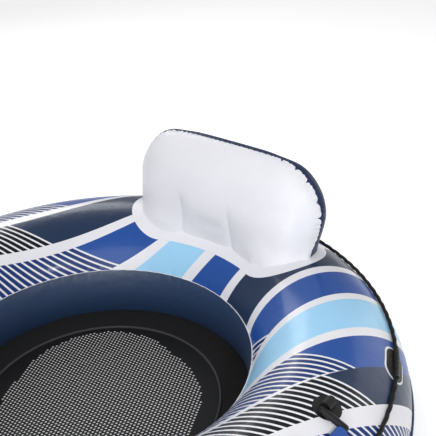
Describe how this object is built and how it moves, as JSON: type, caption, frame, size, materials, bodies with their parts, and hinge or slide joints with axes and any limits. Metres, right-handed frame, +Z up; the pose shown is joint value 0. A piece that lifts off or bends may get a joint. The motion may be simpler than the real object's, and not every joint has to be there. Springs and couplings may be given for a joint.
{
  "type": "inflatable river tube",
  "caption": "Inflatable ring float for one rider, with an inflatable backrest, a mesh seat, a grab rope, folding grab handles and cup holders.",
  "frame": {"origin": "centre of the ring on the surface it stands on", "axes": "+Z up; +Y from the middle of the seat to the backrest, so the rider faces -Y; +X is the rider's left"},
  "size_m": [1.1978, 1.198, 0.4848],
  "materials": {
    "printed_vinyl": "glossy printed vinyl, navy, royal blue and light blue bands on white",
    "navy_vinyl": "glossy navy vinyl",
    "white_vinyl": "glossy white vinyl",
    "blue_vinyl": "glossy royal blue vinyl",
    "skirt_fabric": "black coated fabric",
    "seat_mesh": "black punched mesh sheet",
    "rope": "black twisted rope",
    "patch_vinyl": "black textured vinyl patch",
    "black_plastic": "black moulded plastic",
    "blue_grip": "blue ribbed grip sleeve",
    "valve_plastic": "pale soft moulded plastic"
  },
  "bodies": {
    "root": {"top_panel": "printed_vinyl", "inner_wall": "navy_vinyl", "bottom_panel": "navy_vinyl", "outer_seam": "navy_vinyl", "inner_seam": "white_vinyl", "chamber_walls": "white_vinyl", "back_base": "white_vinyl", "back_front": "white_vinyl", "back_rear": "navy_vinyl", "back_seam": "white_vinyl", "back_webs": "white_vinyl", "skirt": "skirt_fabric", "skirt_band": "skirt_fabric", "piping": "skirt_fabric", "mesh_panel": "seat_mesh", "rope": "rope", "rope_sleeve": "black_plastic", "rope_patch_1": "patch_vinyl", "rope_patch_2": "patch_vinyl", "rope_patch_3": "patch_vinyl", "rope_patch_4": "patch_vinyl", "rope_patch_5": "patch_vinyl", "rope_patch_6": "patch_vinyl", "cup_left": "blue_vinyl", "cup_right": "blue_vinyl", "cup_rim_left": "blue_vinyl", "cup_rim_right": "blue_vinyl", "handle_base_left": "black_plastic", "handle_base_right": "black_plastic", "valve_body_left": "valve_plastic", "valve_body_right": "valve_plastic", "valve_body_back": "valve_plastic", "valve_flap_left": "valve_plastic", "valve_flap_right": "valve_plastic", "valve_flap_back": "valve_plastic"},
    "handle_left": {"handle_bail_left": "black_plastic", "handle_grip_left": "blue_grip"},
    "handle_right": {"handle_bail_right": "black_plastic", "handle_grip_right": "blue_grip"},
    "cap_left": {"valve_cap_left": "valve_plastic"},
    "cap_right": {"valve_cap_right": "valve_plastic"},
    "cap_back": {"valve_cap_back": "valve_plastic"}
  },
  "joints": [
    {"name": "handle_left_pivot", "type": "hinge", "parent": "root", "child": "handle_left", "pos_m": [0.48593, 0, 0.30117], "axis": [0, -1, 0], "range_deg": [0, 190]},
    {"name": "handle_right_pivot", "type": "hinge", "parent": "root", "child": "handle_right", "pos_m": [-0.48593, 0, 0.30117], "axis": [0, 1, 0], "range_deg": [0, 190]},
    {"name": "valve_cap_left_hinge", "type": "hinge", "parent": "root", "child": "cap_left", "pos_m": [0.2403, -0.43921, 0.30066], "axis": [0.4698, -0.8138, -0.342], "range_deg": [0, 150]},
    {"name": "valve_cap_right_hinge", "type": "hinge", "parent": "root", "child": "cap_right", "pos_m": [-0.26022, -0.42771, 0.30066], "axis": [-0.4698, -0.8138, -0.342], "range_deg": [0, 150]},
    {"name": "valve_cap_back_hinge", "type": "hinge", "parent": "root", "child": "cap_back", "pos_m": [0.0115, 0.5113, 0.34009], "axis": [0, 0.1219, -0.9925], "range_deg": [0, 150]}
  ]
}
